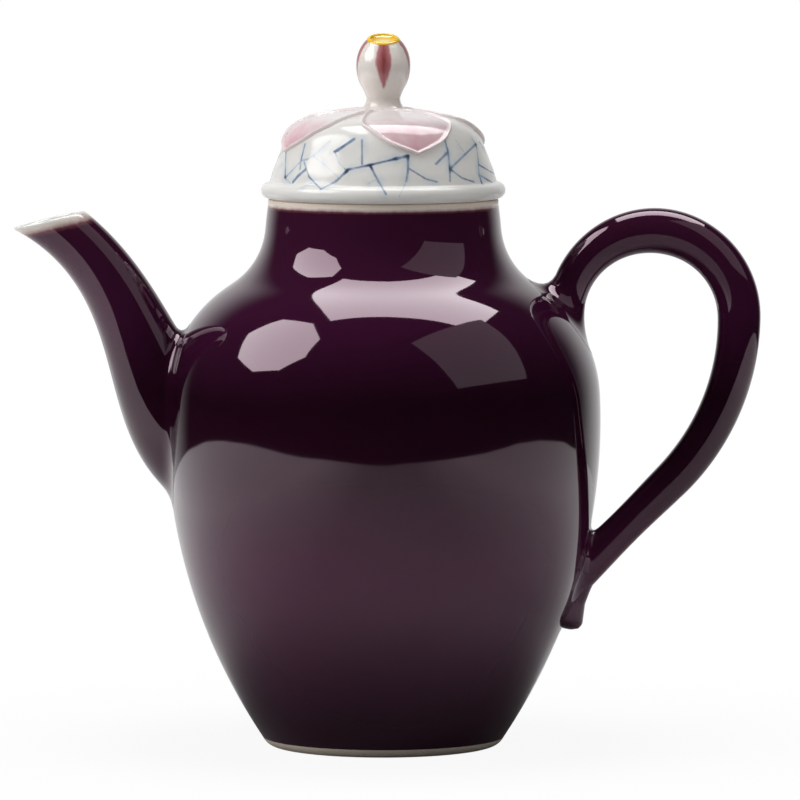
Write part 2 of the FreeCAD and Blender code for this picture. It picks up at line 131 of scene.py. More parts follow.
def layRings(name, rings, crease=60):
    # a grid whose rows become the rings of a form; its seam and poles are merged
    rings = np.asarray(rings, float)
    rows, cols = rings.shape[0] - 1, rings.shape[1] - 1
    bpy.ops.object.select_all(action='DESELECT')
    bpy.ops.mesh.primitive_grid_add(x_subdivisions=cols, y_subdivisions=rows, size=1.0)
    piece = bpy.context.object
    piece.name = name
    flat = np.zeros(len(piece.data.vertices) * 3)
    piece.data.vertices.foreach_get("co", flat)
    flat = flat.reshape(-1, 3)
    across = np.rint((flat[:, 0] + 0.5) * cols).astype(int)
    along = np.rint((flat[:, 1] + 0.5) * rows).astype(int)
    piece.data.vertices.foreach_set("co", (rings[along, across] * mm).ravel())
    piece.data.update()
    bpy.ops.object.mode_set(mode='EDIT')
    bpy.ops.mesh.select_all(action='SELECT')
    bpy.ops.mesh.remove_doubles(threshold=0.002 * mm)
    bpy.ops.mesh.normals_make_consistent(inside=False)
    bpy.ops.object.mode_set(mode='OBJECT')
    bpy.ops.object.shade_smooth_by_angle(angle=math.radians(crease))
    return piece


def spotsOf(piece):
    flat = np.zeros(len(piece.data.vertices) * 3)
    piece.data.vertices.foreach_get("co", flat)
    return flat.reshape(-1, 3) / mm


def paintOn(piece, name, values):
    layer = piece.data.attributes.new(name, 'FLOAT', 'POINT')
    layer.data.foreach_set("value", np.asarray(values, np.float32))


def easeLine(line, times):
    # evens out a line or a stack of rings in place, its two ends fixed
    for _ in range(times):
        line[1:-1] = 0.25 * line[:-2] + 0.5 * line[1:-1] + 0.25 * line[2:]


def capEnds(rings):
    ends = [np.repeat(ring[:-1].mean(0)[None], len(ring), 0) for ring in (rings[0], rings[-1])]
    return np.concatenate([ends[0][None], rings, ends[1][None]])


def plantTree(spots):
    tree = KDTree(len(spots))
    for i, spot in enumerate(spots):
        tree.insert(spot, i)
    tree.balance()
    return tree


def easeStep(low, high, values):
    share = np.clip((np.asarray(values, float) - low) / (high - low), 0, 1)
    return share * share * (3 - 2 * share)


# materials

def makeAubergineGlaze():
    # dark manganese glaze, fired to a wet gloss, with painted shade and painted bounce light by
    # height: lightest on the lower belly, darkest round the upper belly, lighter again on the
    # shoulder, with a slow ripple, going brown-red over edges and then cream
    material = startMaterial("aubergineGlaze")
    place = addNode(material, "TexCoord").outputs["Object"]
    drift = addNode(material, "TexNoise",
                    {"Vector": place, "Scale": 1 / (22 * mm), "Detail": 3.0, "Roughness": 0.55})
    level = addNode(material, "SeparateXYZ", {"Vector": place})
    height = addNode(material, "Math", {0: level.outputs["Z"], 1: 1 / (125 * mm), 2: -0.04},
                     operation='MULTIPLY_ADD')
    band = addNode(material, "Math", {0: drift.outputs["Fac"], 1: 0.08, 2: height.outputs[0]},
                   operation='MULTIPLY_ADD')
    # painted shade and painted bounce light: the colour is set by height, darker at the foot and round the
    # upper belly, lighter on the lower belly and shoulder
    paintedShadeByHeight = addNode(material, "ValToRGB", {"Fac": band.outputs[0]})
    setStops(paintedShadeByHeight, (0.06, "#2a0c1f"), (0.34, "#3e1530"), (0.52, "#240819"),
             (0.64, "#1c0513"), (0.78, "#35102a"), (1.0, "#38132a"))
    thin = addNode(material, "Attribute", attribute_name="thinGlaze")
    ragged = addNode(material, "TexNoise",
                     {"Vector": place, "Scale": 1 / (2.2 * mm), "Detail": 2.0})
    edge = addNode(material, "Math", {0: ragged.outputs["Fac"], 1: 0.30, 2: -0.15},
                   operation='MULTIPLY_ADD')
    share = addNode(material, "Math", {0: thin.outputs["Fac"], 1: edge.outputs[0]},
                    operation='ADD')
    ramp = addNode(material, "ValToRGB", {"Fac": share.outputs[0]})
    setStops(ramp, (0.2, "#000000"), (0.62, "#ffffff"))
    cream = addNode(material, "ValToRGB", {"Fac": share.outputs[0]})
    setStops(cream, (0.5, "#7d4a50"), (0.92, "#e6dcd2"))
    colour = addNode(material, "Mix",
                     {"Factor": ramp.outputs["Color"], "A": paintedShadeByHeight.outputs["Color"],
                      "B": cream.outputs["Color"]}, data_type='RGBA')
    ripple = addNode(material, "TexNoise",
                     {"Vector": place, "Scale": 1 / (9 * mm), "Detail": 1.0})
    bump = addNode(material, "Bump",
                   {"Height": ripple.outputs["Fac"], "Strength": 0.05, "Distance": 0.6 * mm})
    shader = addNode(material, "BsdfPrincipled",
                     {"Base Color": colour.outputs["Result"], "Roughness": 0.045, "IOR": 1.5,
                      "Specular Tint": (1.0, 0.76, 0.87, 1.0), "Normal": bump.outputs["Normal"]})
    addNode(material, "OutputMaterial", {"Surface": shader.outputs["BSDF"]})
    return material


def makeClearGlaze():
    # clear glaze over white porcelain: cool white, glossy, faintly uneven
    material = startMaterial("clearGlazeOnPorcelain")
    place = addNode(material, "TexCoord").outputs["Object"]
    drift = addNode(material, "TexNoise",
                    {"Vector": place, "Scale": 1 / (12 * mm), "Detail": 4.0})
    colour = addNode(material, "Mix",
                     {"Factor": drift.outputs["Fac"], "A": hexColour("#e2dfd9"), "B": hexColour("#efeeea")},
                     data_type='RGBA')
    ripple = addNode(material, "TexNoise", {"Vector": place, "Scale": 1 / (6 * mm)})
    bump = addNode(material, "Bump",
                   {"Height": ripple.outputs["Fac"], "Strength": 0.06, "Distance": 0.5 * mm})
    shader = addNode(material, "BsdfPrincipled",
                     {"Base Color": colour.outputs["Result"], "Roughness": 0.09, "IOR": 1.5,
                      "Normal": bump.outputs["Normal"]})
    addNode(material, "OutputMaterial", {"Surface": shader.outputs["BSDF"]})
    return material


def makeBarePorcelain():
    # unglazed fired porcelain: cream, matt, with a fine sandy tooth
    material = startMaterial("barePorcelain")
    place = addNode(material, "TexCoord").outputs["Object"]
    grain = addNode(material, "TexNoise",
                    {"Vector": place, "Scale": 1 / (0.5 * mm), "Detail": 3.0})
    colour = addNode(material, "Mix",
                     {"Factor": grain.outputs["Fac"], "A": hexColour("#dfcebd"), "B": hexColour("#ece0d2")},
                     data_type='RGBA')
    bump = addNode(material, "Bump",
                   {"Height": grain.outputs["Fac"], "Strength": 0.25, "Distance": 0.1 * mm})
    shader = addNode(material, "BsdfPrincipled",
                     {"Base Color": colour.outputs["Result"], "Roughness": 0.55,
                      "Normal": bump.outputs["Normal"]})
    addNode(material, "OutputMaterial", {"Surface": shader.outputs["BSDF"]})
    return material


def makeCrackleGlaze():
    # blue brush lines under clear glaze: slate blue where the brush pressed, thinning to a
    # pale wash that bleeds into the white round each line
    material = startMaterial("underglazeBlueCrackle")
    place = addNode(material, "TexCoord").outputs["Object"]
    ink = addNode(material, "Attribute", attribute_name="inkGap").outputs["Fac"]
    fray = addNode(material, "TexNoise",
                   {"Vector": place, "Scale": 1 / (0.9 * mm), "Detail": 2.0})
    wobble = addNode(material, "Math", {0: fray.outputs["Fac"], 1: 0.16, 2: -0.08},
                     operation='MULTIPLY_ADD')
    gap = addNode(material, "Math", {0: ink, 1: wobble.outputs[0]}, operation='ADD')
    line = addNode(material, "MapRange",
                   {"Value": gap.outputs[0], "From Min": 0.26, "From Max": -0.12},
                   interpolation_type='SMOOTHSTEP')
    bleed = addNode(material, "MapRange",
                    {"Value": ink, "From Min": 1.7, "From Max": 0.0, "To Max": 0.45})
    pool = addNode(material, "TexNoise",
                   {"Vector": place, "Scale": 1 / (5 * mm), "Detail": 2.0})
    poolShare = addNode(material, "MapRange",
                        {"Value": pool.outputs["Fac"], "From Min": 0.38, "From Max": 0.68})
    wash = addNode(material, "Math", {0: bleed.outputs[0], 1: poolShare.outputs[0]},
                   operation='MULTIPLY')
    drift = addNode(material, "TexNoise",
                    {"Vector": place, "Scale": 1 / (11 * mm), "Detail": 3.0})
    white = addNode(material, "Mix",
                    {"Factor": drift.outputs["Fac"], "A": hexColour("#e3e0db"), "B": hexColour("#eeedea")},
                    data_type='RGBA')
    washed = addNode(material, "Mix",
                     {"Factor": wash.outputs[0], "A": white.outputs["Result"], "B": hexColour("#9fb9cf")},
                     data_type='RGBA')
    press = addNode(material, "TexNoise",
                    {"Vector": place, "Scale": 1 / (3.5 * mm), "Detail": 1.0})
    pressShare = addNode(material, "MapRange",
                         {"Value": press.outputs["Fac"], "From Min": 0.35, "From Max": 0.65})
    blue = addNode(material, "Mix",
                   {"Factor": pressShare.outputs[0], "A": hexColour("#536a8e"), "B": hexColour("#98aec6")},
                   data_type='RGBA')
    knot = addNode(material, "Attribute", attribute_name="knotGap").outputs["Fac"]
    dark = addNode(material, "MapRange",
                   {"Value": knot, "From Min": 1.5, "From Max": 0.1, "To Max": 0.9},
                   interpolation_type='SMOOTHSTEP')
    blueDark = addNode(material, "Mix",
                       {"Factor": dark.outputs[0], "A": blue.outputs["Result"], "B": hexColour("#2c3c5c")},
                       data_type='RGBA')
    colour = addNode(material, "Mix",
                     {"Factor": line.outputs[0], "A": washed.outputs["Result"],
                      "B": blueDark.outputs["Result"]}, data_type='RGBA')
    ripple = addNode(material, "TexNoise", {"Vector": place, "Scale": 1 / (5 * mm)})
    bump = addNode(material, "Bump",
                   {"Height": ripple.outputs["Fac"], "Strength": 0.12, "Distance": 0.5 * mm})
    shader = addNode(material, "BsdfPrincipled",
                     {"Base Color": colour.outputs["Result"], "Roughness": 0.13, "IOR": 1.36,
                      "Normal": bump.outputs["Normal"]})
    addNode(material, "OutputMaterial", {"Surface": shader.outputs["BSDF"]})
    return material


def makePetalGlaze():
    # pink stain under clear glaze, brushed from the tip towards the knob; the carved edge
    # sheds the stain and stays white
    material = startMaterial("pinkPetalGlaze")
    place = addNode(material, "TexCoord").outputs["Object"]
    along = addNode(material, "Attribute", attribute_name="petalAlong").outputs["Fac"]
    ridge = addNode(material, "Attribute", attribute_name="petalRidge").outputs["Fac"]
    streak = addNode(material, "TexNoise",
                     {"Vector": place, "Scale": 1 / (3 * mm), "Detail": 3.0})
    depth = addNode(material, "Math", {0: streak.outputs["Fac"], 1: 0.5, 2: -0.25},
                    operation='MULTIPLY_ADD')
    share = addNode(material, "Math", {0: along, 1: depth.outputs[0]}, operation='ADD')
    ramp = addNode(material, "ValToRGB", {"Fac": share.outputs[0]})
    setStops(ramp, (0.4, "#ebe3e3"), (0.95, "#dba9b3"))
    colour = addNode(material, "Mix",
                     {"Factor": ridge, "A": ramp.outputs["Color"], "B": hexColour("#efe5e4")},
                     data_type='RGBA')
    shader = addNode(material, "BsdfPrincipled",
                     {"Base Color": colour.outputs["Result"], "Roughness": 0.11, "IOR": 1.42})
    addNode(material, "OutputMaterial", {"Surface": shader.outputs["BSDF"]})
    return material


def makeBudGlaze():
    # white porcelain bud with tapered rose-red brush strokes, streaky and darker down the
    # middle, and a yellow line round the open top
    material = startMaterial("roseBudGlaze")
    place = addNode(material, "TexCoord").outputs["Object"]
    stroke = addNode(material, "Attribute", attribute_name="strokeIn").outputs["Fac"]
    lip = addNode(material, "Attribute", attribute_name="lipUp").outputs["Fac"]
    squash = addNode(material, "Mapping", {"Vector": place, "Scale": (1.0, 1.0, 0.12)})
    hairs = addNode(material, "TexNoise",
                    {"Vector": squash.outputs["Vector"], "Scale": 1 / (0.5 * mm), "Detail": 2.0})
    fray = addNode(material, "Math", {0: hairs.outputs["Fac"], 1: 0.7, 2: -0.35},
                   operation='MULTIPLY_ADD')
    inside = addNode(material, "Math", {0: stroke, 1: fray.outputs[0]}, operation='ADD')
    mask = addNode(material, "MapRange",
                   {"Value": inside.outputs[0], "From Min": -0.25, "From Max": 0.35},
                   interpolation_type='SMOOTHSTEP')
    tone = addNode(material, "MapRange",
                   {"Value": inside.outputs[0], "From Min": 0.2, "From Max": 1.7})
    red = addNode(material, "Mix",
                  {"Factor": tone.outputs[0], "A": hexColour("#bd7c7e"), "B": hexColour("#8f4448")},
                  data_type='RGBA')
    drift = addNode(material, "TexNoise", {"Vector": place, "Scale": 1 / (7 * mm)})
    white = addNode(material, "Mix",
                    {"Factor": drift.outputs["Fac"], "A": hexColour("#e6ddd6"), "B": hexColour("#f0e9e3")},
                    data_type='RGBA')
    painted = addNode(material, "Mix",
                      {"Factor": mask.outputs[0], "A": white.outputs["Result"], "B": red.outputs["Result"]},
                      data_type='RGBA')
    ring = addNode(material, "ValToRGB", {"Fac": lip})
    setStops(ring, (0.48, "#000000"), (0.60, "#ffffff"))
    gold = addNode(material, "ValToRGB", {"Fac": lip})
    setStops(gold, (0.55, "#d3a02a"), (0.8, "#f5c923"))
    colour = addNode(material, "Mix",
                     {"Factor": ring.outputs["Color"], "A": painted.outputs["Result"],
                      "B": gold.outputs["Color"]}, data_type='RGBA')
    shader = addNode(material, "BsdfPrincipled",
                     {"Base Color": colour.outputs["Result"], "Roughness": 0.1, "IOR": 1.42})
    addNode(material, "OutputMaterial", {"Surface": shader.outputs["BSDF"]})
    return material


def makeYellowGlaze():
    # lead-yellow enamel pooled in the cup: bright, with a paler middle that is a painted highlight
    material = startMaterial("yellowCupGlaze")
    place = addNode(material, "TexCoord").outputs["Object"]
    out = addNode(material, "Attribute", attribute_name="cupOut").outputs["Fac"]
    grain = addNode(material, "TexNoise", {"Vector": place, "Scale": 1 / (0.8 * mm)})
    shift = addNode(material, "Math", {0: grain.outputs["Fac"], 1: 0.3, 2: -0.15},
                    operation='MULTIPLY_ADD')
    share = addNode(material, "Math", {0: out, 1: shift.outputs[0]}, operation='ADD')
    # paler towards the middle: a painted highlight
    ramp = addNode(material, "ValToRGB", {"Fac": share.outputs[0]})
    setStops(ramp, (0.25, "#fbe9a0"), (0.85, "#f3bd16"))
    shader = addNode(material, "BsdfPrincipled",
                     {"Base Color": ramp.outputs["Color"], "Roughness": 0.1, "IOR": 1.5})
    addNode(material, "OutputMaterial", {"Surface": shader.outputs["BSDF"]})
    return material


aubergineGlaze = makeAubergineGlaze()
clearGlaze = makeClearGlaze()
barePorcelain = makeBarePorcelain()
crackleGlaze = makeCrackleGlaze()
petalGlaze = makePetalGlaze()
budGlaze = makeBudGlaze()
yellowGlaze = makeYellowGlaze()
print("materials made")


# pot wall: belly, shoulder and neck in one glazed shell

wall = {
    "thick": 3.6, "footUp": 2.0,
    "bellyCentre": (-79.2, 73.2), "bellyBend": 128.0,
    "shoulderCentre": (18.19, 77.82), "shoulderBend": 30.5,
    "neckCentre": (42.65, 117.71), "neckBend": 16.3,
    "collarEdge": 25.8, "collarTop": 122.2, "creamFrom": 120.2, "creamFull": 122.3, "outFrom": 24.0,
    "steps": 192,
}


def turnBetween(start, end):
    return math.degrees(math.atan2(end[1] - start[1], end[0] - start[0]))


# the arcs are tangent, so each meets the next on the line through their two centres
wall["bellyTurn"] = turnBetween(wall["bellyCentre"], wall["shoulderCentre"])
wall["shoulderTurn"] = turnBetween(wall["shoulderCentre"], wall["neckCentre"])
wall["bellyTop"] = wall["bellyCentre"][1] + wall["bellyBend"] * math.sin(math.radians(wall["bellyTurn"]))
wall["shoulderTop"] = (wall["shoulderCentre"][1]
                       + wall["shoulderBend"] * math.sin(math.radians(wall["shoulderTurn"])))
wall["waist"] = (wall["neckCentre"][0] - wall["neckBend"], wall["neckCentre"][1])


def wallRadius(up):
    up = np.clip(np.asarray(up, float), 0.5, wall["collarTop"])
    belly = wall["bellyCentre"][0] + np.sqrt(
        np.maximum(wall["bellyBend"] ** 2 - (up - wall["bellyCentre"][1]) ** 2, 0))
    shoulder = wall["shoulderCentre"][0] + np.sqrt(
        np.maximum(wall["shoulderBend"] ** 2 - (up - wall["shoulderCentre"][1]) ** 2, 0))
    neck = wall["neckCentre"][0] - np.sqrt(
        np.maximum(wall["neckBend"] ** 2 - (up - wall["neckCentre"][1]) ** 2, 0))
    narrow, start = wall["waist"]
    collar = narrow + (wall["collarEdge"] - narrow) * (up - start) / (wall["collarTop"] - start)
    return np.where(up < wall["bellyTop"], belly,
                    np.where(up < wall["shoulderTop"], shoulder, np.where(up < start, neck, collar)))


def wallNormal(spot):
    slope = (wallRadius(spot[2] + 0.05) - wallRadius(spot[2] - 0.05)) / 0.1
    out = np.array([spot[0], spot[1], 0.0])
    out /= np.linalg.norm(out)
    normal = out - np.array([0, 0, slope])
    return normal / np.linalg.norm(normal)


def onWall(spot):
    reach = math.hypot(spot[0], spot[1])
    share = float(wallRadius(spot[2])) / reach
    return np.array([spot[0] * share, spot[1] * share, spot[2]])


def makePotWall():
    thick = wall["thick"]
    hole = wall["waist"][0] - thick
    footTurn = math.degrees(math.asin((wall["footUp"] - wall["bellyCentre"][1]) / wall["bellyBend"]))
    inFootTurn = math.degrees(
        math.asin((wall["footUp"] - wall["bellyCentre"][1]) / (wall["bellyBend"] - thick)))
    outside = joinProfile(
        arcPoints(wall["bellyCentre"], wall["bellyBend"], footTurn, wall["bellyTurn"], 60),
        arcPoints(wall["shoulderCentre"], wall["shoulderBend"],
                  wall["bellyTurn"], wall["shoulderTurn"], 34),
        arcPoints(wall["neckCentre"], wall["neckBend"], wall["shoulderTurn"] + 180, 180, 22),
        linePoints(wall["waist"], (wall["collarEdge"], wall["collarTop"]), 9))
    line = np.array(outside)
    easeLine(line, 6)  # eases the joints of the arcs so that reflections run on
    inside = joinProfile(
        linePoints((hole, wall["collarTop"]), (hole, wall["waist"][1]), 4),
        arcPoints(wall["neckCentre"], wall["neckBend"] + thick, 180, wall["shoulderTurn"] + 180, 10),
        arcPoints(wall["shoulderCentre"], wall["shoulderBend"] - thick,
                  wall["shoulderTurn"], wall["bellyTurn"], 14),
        arcPoints(wall["bellyCentre"], wall["bellyBend"] - thick, wall["bellyTurn"], inFootTurn, 24))
    profile = [tuple(p) for p in line] + inside + [tuple(line[0])]
    piece = turnProfile("potWall", profile, wall["steps"])
    spots = spotsOf(piece)
    cream = easeStep(wall["creamFrom"], wall["creamFull"], spots[:, 2])
    paintOn(piece, "thinGlaze", np.where(np.hypot(spots[:, 0], spots[:, 1]) > wall["outFrom"], cream, 0))
    piece.data.materials.append(aubergineGlaze)
    piece.data.materials.append(clearGlaze)
    for face in piece.data.polygons:
        out = face.normal.x * face.center.x + face.normal.y * face.center.y
        face.material_index = 1 if out < 0 or face.center.z > (wall["collarTop"] - 0.1) * mm else 0
    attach(piece, "pot")
    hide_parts("belly", "neck_collar")


makePotWall()
print("pot wall made")


# foot ring and mouth rim, wiped clean of glaze

foot = {"hollow": 20.3, "contact": 24.3, "edge": 27.17, "edgePull": (26.27, 0.25), "height": 2.0,
        "round": 0.5}
rim = {"hole": 22.75, "edge": 25.8, "low": 122.2, "top": 123.1, "round": 0.5, "inRound": 0.4}


def makeFootRing():
    f = foot
    profile = joinProfile(
        bendPoints((f["edge"], f["height"]), f["edgePull"], (f["contact"], 0), 9),
        linePoints((f["contact"], 0), (f["hollow"] + f["round"], 0), 5),
        bendPoints((f["hollow"] + f["round"], 0), (f["hollow"], 0), (f["hollow"], f["round"]), 5),
        linePoints((f["hollow"], f["round"]), (f["hollow"], f["height"]), 3),
        linePoints((f["hollow"], f["height"]), (f["edge"], f["height"]), 4))
    piece = turnProfile("footRing", profile, 160)
    piece.data.materials.append(barePorcelain)
    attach(piece, "pot")
    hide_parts("foot_ring")


def makeRimRing():
    r = rim
    profile = joinProfile(
        linePoints((r["edge"], r["low"]), (r["edge"], r["top"] - r["round"]), 4),
        bendPoints((r["edge"], r["top"] - r["round"]), (r["edge"], r["top"]),
                   (r["edge"] - r["round"], r["top"]), 7),
        linePoints((r["edge"] - r["round"], r["top"]), (r["hole"] + r["inRound"], r["top"]), 4),
        bendPoints((r["hole"] + r["inRound"], r["top"]), (r["hole"], r["top"]),
                   (r["hole"], r["top"] - r["inRound"]), 5),
        linePoints((r["hole"], r["top"] - r["inRound"]), (r["hole"], r["low"]), 3),
        linePoints((r["hole"], r["low"]), (r["edge"], r["low"]), 4))
    piece = turnProfile("rimRing", profile, 192)
    piece.data.materials.append(barePorcelain)
    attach(piece, "pot")
    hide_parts("mouth_rim")


makeFootRing()
makeRimRing()
print("foot and rim made")


# spout: a curved tube luted onto the wall, its joint softened by the glaze

spout = {
    "line": ((-37.1, 67.1), (-56.8, 74.9), (-49.7, 108.9), (-84.2, 123.5)),
    "rootHalf": 15.2, "tipHalf": 6.0, "slim": 0.14, "boreRoot": 9.5, "boreTip": 4.6,
    "mouth": (-75.3, 118.4), "mouthWay": (-0.237, 0.972),
    "joint": 3.2, "sink": 1.2, "boreSink": 1.6, "lip": 0.9, "creamFrom": 4.4, "creamFull": 0.3,
    "whiteReach": 0.3, "around": 96, "lipSteps": 7, "boreSteps": 30,
}


def spoutLine(turn, root, tip, ways):
    (ax, az), (bx, bz), (cx, cz), (dx, dz) = spout["line"]
    t, o = ways, 1 - ways
    x = o ** 3 * ax + 3 * t * o * o * bx + 3 * t * t * o * cx + t ** 3 * dx
    z = o ** 3 * az + 3 * t * o * o * bz + 3 * t * t * o * cz + t ** 3 * dz
    vx = o * o * (bx - ax) + 2 * t * o * (cx - bx) + t * t * (dx - cx)
    vz = o * o * (bz - az) + 2 * t * o * (cz - bz) + t * t * (dz - cz)
    size = np.hypot(vx, vz)
    tall = tip + (root - tip) * o * o
    wide = tall * (1 - spout["slim"] * o)
    spots = np.stack([x - vz / size * tall * math.cos(turn), wide * math.sin(turn) * np.ones_like(x),
                      z + vx / size * tall * math.cos(turn)], 1)
    return spots, np.stack([x, np.zeros_like(x), z], 1)


def crossing(values, rising, last=False):
    signs = (values[:-1] < 0) & (values[1:] >= 0) if rising else (values[:-1] >= 0) & (values[1:] < 0)
    found = np.nonzero(signs)[0]
    i = found[-1] if last else found[0]
    return i + values[i] / (values[i] - values[i + 1])


def walkLine(spots, starts):
    # points at fractional places along a sampled line
    base = np.clip(np.floor(starts).astype(int), 0, len(spots) - 2)
    share = (np.asarray(starts) - base)[:, None]
    return spots[base] * (1 - share) + spots[base + 1] * share


def stepAlong(spots, start, reach):
    # fractional place a given length further along the line, or back if negative
    lengths = np.concatenate([[0], np.cumsum(np.linalg.norm(np.diff(spots, axis=0), axis=1))])
    here = np.interp(start, np.arange(len(spots)), lengths)
    return float(np.interp(here + reach, lengths, np.arange(len(spots))))


def jointRows(corner, middle, tubeSpot, reach, sink, proud=0.12, under=0.5, count=8):
    # rows from under the wall, over the softened joint, up to the tube
    normal = wallNormal(corner)
    way = corner - middle
    way -= normal * float(way @ normal)
    way /= np.linalg.norm(way)
    foot = onWall(corner + way * reach)
    rows = [onWall(corner + way * (reach + under)) - wallNormal(foot) * sink]
    for s in np.linspace(0, 1, count):
        rows.append((1 - s) ** 2 * foot + 2 * s * (1 - s) * (corner + normal * proud) + s * s * tubeSpot)
    return rows


def makeSpout():
    ways = np.linspace(0.0, 1.0, 500)
    mouth = np.array([spout["mouth"][0], 0, spout["mouth"][1]])
    mouthWay = np.array([spout["mouthWay"][0], 0, spout["mouthWay"][1]])
    columns = []
    for turn in np.linspace(0, 2 * math.pi, spout["around"] + 1):
        skin, middles = spoutLine(turn, spout["rootHalf"], spout["tipHalf"], ways)
        bore, _ = spoutLine(turn, spout["boreRoot"], spout["boreTip"], ways)
        gap = np.hypot(skin[:, 0], skin[:, 1]) - wallRadius(skin[:, 2])
        start = crossing(gap, True, True)
        end = crossing((skin - mouth) @ mouthWay, True)
        boreEnd = crossing((bore - mouth) @ mouthWay, True)
        boreGap = np.hypot(bore[:, 0], bore[:, 1]) - wallRadius(bore[:, 2]) + spout["boreSink"]
        boreStart = crossing(boreGap, True, True)
        corner = walkLine(skin, [start])[0]
        middle = walkLine(middles, [start])[0]
        tubeStart = stepAlong(skin, start, spout["joint"])
        tubeEnd = stepAlong(skin, end, -spout["lip"])
        boreTop = stepAlong(bore, boreEnd, -spout["lip"])
        rows = jointRows(corner, middle, walkLine(skin, [tubeStart])[0], spout["joint"], spout["sink"])
        rows += list(walkLine(skin, np.linspace(tubeStart, tubeEnd, 70)[1:]))
        outEdge, inEdge = walkLine(skin, [end])[0], walkLine(bore, [boreEnd])[0]
        crest = (outEdge + inEdge) / 2
        outLow, inLow = rows[-1], walkLine(bore, [boreTop])[0]
        for s in np.linspace(0, 1, spout["lipSteps"])[1:]:
            rows.append((1 - s) ** 2 * outLow + 2 * s * (1 - s) * outEdge + s * s * crest)
        for s in np.linspace(0, 1, spout["lipSteps"])[1:]:
            rows.append((1 - s) ** 2 * crest + 2 * s * (1 - s) * inEdge + s * s * inLow)
        rows += list(walkLine(bore, np.linspace(boreTop, boreStart, spout["boreSteps"])[1:]))
        rows.append(rows[0])
        columns.append(rows)
    rings = np.array(columns).transpose(1, 0, 2)
    piece = layRings("spoutSkin", rings)
    spots = spotsOf(piece)
    fromMouth = -((spots - mouth) @ mouthWay)
    paintOn(piece, "thinGlaze", easeStep(spout["creamFrom"], spout["creamFull"], fromMouth))
    piece.data.materials.append(aubergineGlaze)
    piece.data.materials.append(clearGlaze)
    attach(piece, "pot")
    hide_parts("spout")
    whiteRows = 2 * (spout["lipSteps"] - 1) + spout["boreSteps"] - 1  # the lip and the bore
    whites = plantTree([spot for column in columns[:-1] for spot in column[-whiteRows - 1:-1]])
    for face in piece.data.polygons:
        if whites.find(face.center / mm)[2] < spout["whiteReach"]:
            face.material_index = 1


makeSpout()
print("spout made")


# handle: a pulled strap bent into a loop, thickest over the top

handle = {
    "bowCentre": (60.3, 96.4), "bow": 19.5, "sideBow": 52.0, "rootTurn": 172, "rootRun": 10.2,
    "runLength": 46.0,
    # (length along the strap, half its thickness): thick over the top, drawn thin at the low end
    "halves": ((0, 4.2), (18, 4.2), (40, 5.2), (75, 4.75), (110, 4.3), (124, 3.8), (140, 4.4)),
    "slim": 0.08, "topJoint": 6.0, "lowJoint": 4.0, "underJoint": 5.0, "underFrom": 4.0,
    "sink": 1.2, "around": 72,
}


def handlePath(count):
    bow, side = handle["bow"], handle["sideBow"]
    cx, cz = handle["bowCentre"]
    wideX = cx + bow - side
    rootTurn, rootRun = math.radians(handle["rootTurn"]), handle["rootRun"]
    first = rootRun + rootTurn * bow
    second = math.radians(45) * side
    total = first + second + handle["runLength"]
    spots, ways = [], []
    for at in np.linspace(0, total, count):
        if at <= rootRun:
            way = (math.sin(rootTurn), 0, -math.cos(rootTurn))
            spots.append((cx + bow * math.cos(rootTurn) - (rootRun - at) * way[0], 0,
                          cz + bow * math.sin(rootTurn) - (rootRun - at) * way[2]))
            ways.append(way)
        elif at <= first:
            turn = rootTurn - (at - rootRun) / bow
            spots.append((cx + bow * math.cos(turn), 0, cz + bow * math.sin(turn)))
            ways.append((math.sin(turn), 0, -math.cos(turn)))
        elif at <= first + second:
            turn = -(at - first) / side
            spots.append((wideX + side * math.cos(turn), 0, cz + side * math.sin(turn)))
            ways.append((math.sin(turn), 0, -math.cos(turn)))
        else:
            run = (at - first - second) * math.sqrt(0.5)
            startX = wideX + side * math.sqrt(0.5)
            startZ = cz - side * math.sqrt(0.5)
            spots.append((startX - run, 0, startZ - run))
            ways.append((-math.sqrt(0.5), 0, -math.sqrt(0.5)))
    lengths = np.linspace(0, total, count)
    halves = np.interp(lengths, *zip(*handle["halves"]))
    easeLine(halves, 250)
    return np.array(spots), np.array(ways), halves


def makeHandle():
    middles, ways, halves = handlePath(420)
    outs = np.stack([-ways[:, 2], np.zeros(len(ways)), ways[:, 0]], 1)
    columns = []
    for turn in np.linspace(0, 2 * math.pi, handle["around"] + 1):
        skin = middles + outs * (halves * math.cos(turn))[:, None]
        skin[:, 1] += halves * (1 - handle["slim"]) * math.sin(turn)
        gap = np.hypot(skin[:, 0], skin[:, 1]) - wallRadius(skin[:, 2])
        start, end = crossing(gap, True), crossing(gap, False, True)
        corner, middle = walkLine(skin, [start])[0], walkLine(middles, [start])[0]
        tubeStart = stepAlong(skin, start, handle["topJoint"])
        rows = jointRows(corner, middle, walkLine(skin, [tubeStart])[0], handle["topJoint"], handle["sink"])
        lowCorner, lowMiddle = walkLine(skin, [end])[0], walkLine(middles, [end])[0]
        below = max(0.0, min(1.0, (lowMiddle[2] - lowCorner[2]) / handle["underFrom"]))
        reach = handle["lowJoint"] + handle["underJoint"] * below
        tubeEnd = stepAlong(skin, end, -reach)
        rows += list(walkLine(skin, np.linspace(tubeStart, tubeEnd, 130)[1:]))
        low = jointRows(lowCorner, lowMiddle, rows[-1], reach, handle["sink"])
        rows += low[::-1][1:]
        columns.append(rows)
    rings = np.array(columns).transpose(1, 0, 2)
    piece = layRings("handleSkin", capEnds(rings))
    piece.data.materials.append(aubergineGlaze)
    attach(piece, "pot")
    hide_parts("handle_loop")


makeHandle()
print("handle made")


# tail of the handle: pressed down the wall with a thumb, ending in a small bulge

